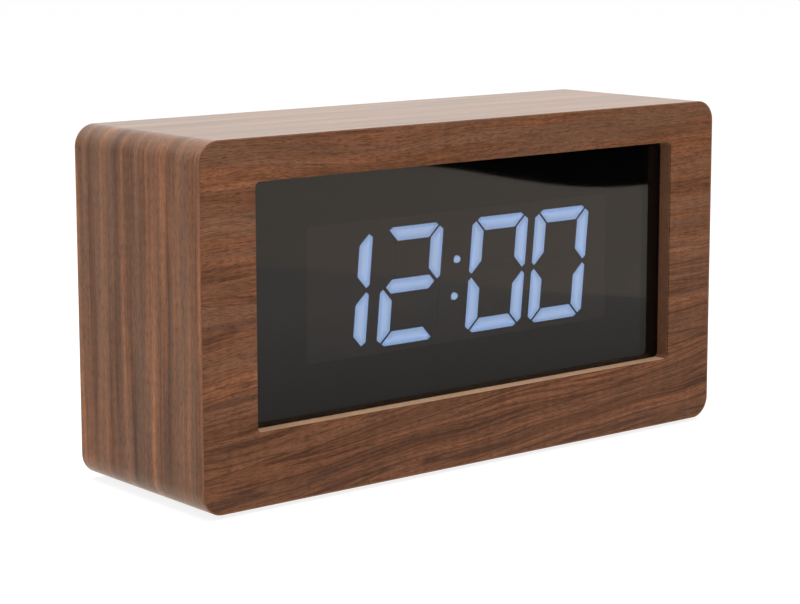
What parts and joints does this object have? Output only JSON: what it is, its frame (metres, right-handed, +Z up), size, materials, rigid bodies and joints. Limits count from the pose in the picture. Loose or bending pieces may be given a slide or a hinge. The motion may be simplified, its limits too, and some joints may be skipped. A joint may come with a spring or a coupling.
{
  "type": "led table clock",
  "caption": "Free-standing table clock: a veneered box with a smoked window, lit seven-segment digits and a rear cover with controls.",
  "frame": {"origin": "on the table, under the middle of the case, at the level of the feet's undersides", "axes": "+X to the right seen from the front, +Y from the display towards the rear, +Z up"},
  "size_m": [0.245, 0.077, 0.1286],
  "materials": {
    "walnut_veneer": "satin open-pored walnut veneer",
    "mdf": "raw fibreboard, matte",
    "smoked_acrylic": "smoked transparent acrylic, polished",
    "black_abs": "fine-textured moulding",
    "reflector_plastic": "smooth moulding with a printed face",
    "lit_resin": "diffusing resin, lit from behind",
    "unlit_resin": "diffusing resin, not lit",
    "circuit_board": "glass-epoxy laminate with solder mask",
    "component_black": "semi-matte moulding",
    "steel": "zinc plated",
    "nickel": "nickel plated spring steel",
    "cell_sleeve": "printed shrink sleeve over a steel can",
    "foot_rubber": "matte",
    "ribbon_grey": "flat ribbed insulation",
    "lead_red": "insulated wire",
    "lead_black": "insulated wire"
  },
  "bodies": {
    "case": {"case_veneer": "walnut_veneer", "front_veneer": "walnut_veneer", "front_frame": "mdf", "top_board": "mdf", "bottom_board": "mdf", "left_board": "mdf", "right_board": "mdf", "corner_block_lower_left": "mdf", "corner_block_lower_right": "mdf", "corner_block_upper_left": "mdf", "corner_block_upper_right": "mdf", "lens": "smoked_acrylic", "display_carrier": "black_abs", "rear_cover": "black_abs", "led_reflector": "reflector_plastic", "digit_hours_tens": "lit_resin", "digit_hours_units": "lit_resin", "digit_colon": "lit_resin", "digit_minutes_tens": "lit_resin", "digit_minutes_units": "lit_resin", "unlit_hours_units_upper_left": "unlit_resin", "unlit_hours_units_lower_right": "unlit_resin", "unlit_minutes_tens_middle": "unlit_resin", "unlit_minutes_units_middle": "unlit_resin", "led_board": "circuit_board", "main_board": "circuit_board", "power_socket": "component_black", "buzzer": "component_black", "slide_switch": "steel", "cover_screw_lower_left": "steel", "cover_screw_lower_right": "steel", "cover_screw_upper_left": "steel", "cover_screw_upper_right": "steel", "carrier_screw_lower_left": "steel", "carrier_screw_lower_right": "steel", "carrier_screw_upper_left": "steel", "carrier_screw_upper_right": "steel", "main_board_screw_left": "steel", "main_board_screw_right": "steel", "battery_spring_upper": "nickel", "battery_spring_lower": "nickel", "contact_link": "nickel", "contact_positive": "nickel", "contact_negative": "nickel", "battery_upper": "cell_sleeve", "battery_lower": "cell_sleeve", "foot_front_left": "foot_rubber", "foot_front_right": "foot_rubber", "foot_rear_left": "foot_rubber", "foot_rear_right": "foot_rubber", "ribbon_cable": "ribbon_grey", "lead_positive": "lead_red", "lead_negative": "lead_black"},
    "set_button": {"set_button": "black_abs"},
    "alarm_button": {"alarm_button": "black_abs"},
    "down_button": {"down_button": "black_abs"},
    "up_button": {"up_button": "black_abs"},
    "dimmer_button": {"dimmer_button": "black_abs"},
    "alarm_switch_knob": {"alarm_switch_knob": "black_abs"},
    "battery_door": {"battery_door": "black_abs"}
  },
  "joints": [
    {"name": "set_button_press", "type": "slide", "parent": "case", "child": "set_button", "axis": [0, -1, 0], "range_m": [0, 0.0008], "stiffness_N_per_m": 1500, "springref_m": -0.0004},
    {"name": "alarm_button_press", "type": "slide", "parent": "case", "child": "alarm_button", "axis": [0, -1, 0], "range_m": [0, 0.0008], "stiffness_N_per_m": 1500, "springref_m": -0.0004},
    {"name": "down_button_press", "type": "slide", "parent": "case", "child": "down_button", "axis": [0, -1, 0], "range_m": [0, 0.0008], "stiffness_N_per_m": 1500, "springref_m": -0.0004},
    {"name": "up_button_press", "type": "slide", "parent": "case", "child": "up_button", "axis": [0, -1, 0], "range_m": [0, 0.0008], "stiffness_N_per_m": 1500, "springref_m": -0.0004},
    {"name": "dimmer_button_press", "type": "slide", "parent": "case", "child": "dimmer_button", "axis": [0, -1, 0], "range_m": [0, 0.0008], "stiffness_N_per_m": 1500, "springref_m": -0.0004},
    {"name": "alarm_switch_slide", "type": "slide", "parent": "case", "child": "alarm_switch_knob", "axis": [1, 0, 0], "range_m": [0, 0.004]},
    {"name": "battery_door_hinge", "type": "hinge", "parent": "case", "child": "battery_door", "pos_m": [0, 0.0346, 0.03619], "axis": [-1, 0, 0], "range_deg": [0, 75]}
  ]
}
